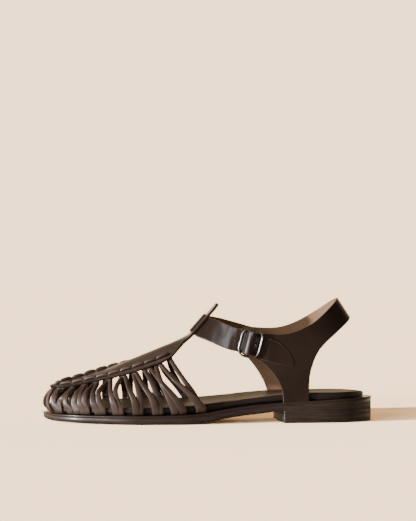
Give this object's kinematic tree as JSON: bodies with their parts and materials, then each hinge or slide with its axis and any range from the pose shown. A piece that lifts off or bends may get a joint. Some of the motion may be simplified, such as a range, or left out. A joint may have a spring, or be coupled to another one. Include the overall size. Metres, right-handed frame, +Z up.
{
  "type": "t-strap sandal",
  "caption": "Left closed-toe T-strap sandal: woven leather strips under a smooth vamp leaf, slingback quarter, buckled ankle strap, welted sole with a low block heel.",
  "frame": {"origin": "on the floor, at the middle of the sole's length and in the ankle's middle plane, which lies 1.3 mm from the middle of the whole width", "axes": "-X towards the toe, -Y towards the outer side of the foot, where the buckle is, +Z up"},
  "size_m": [0.258, 0.0898, 0.097],
  "materials": {
    "upper_leather": "glossy dark brown, smooth",
    "insole_leather": "satin brown lining leather",
    "welt_leather": "inked and waxed edge",
    "sole_leather": "inked and waxed edge",
    "heel_stack": "stacked lifts, inked and waxed",
    "buckle_metal": "polished dark nickel"
  },
  "bodies": {
    "root": {"outsole": "sole_leather", "welt": "welt_leather", "insole": "insole_leather", "heel": "heel_stack", "upper": "upper_leather", "quarter": "upper_leather", "ankle_strap": "upper_leather", "buckle_frame": "buckle_metal", "buckle_prong": "buckle_metal"}
  },
  "joints": []
}
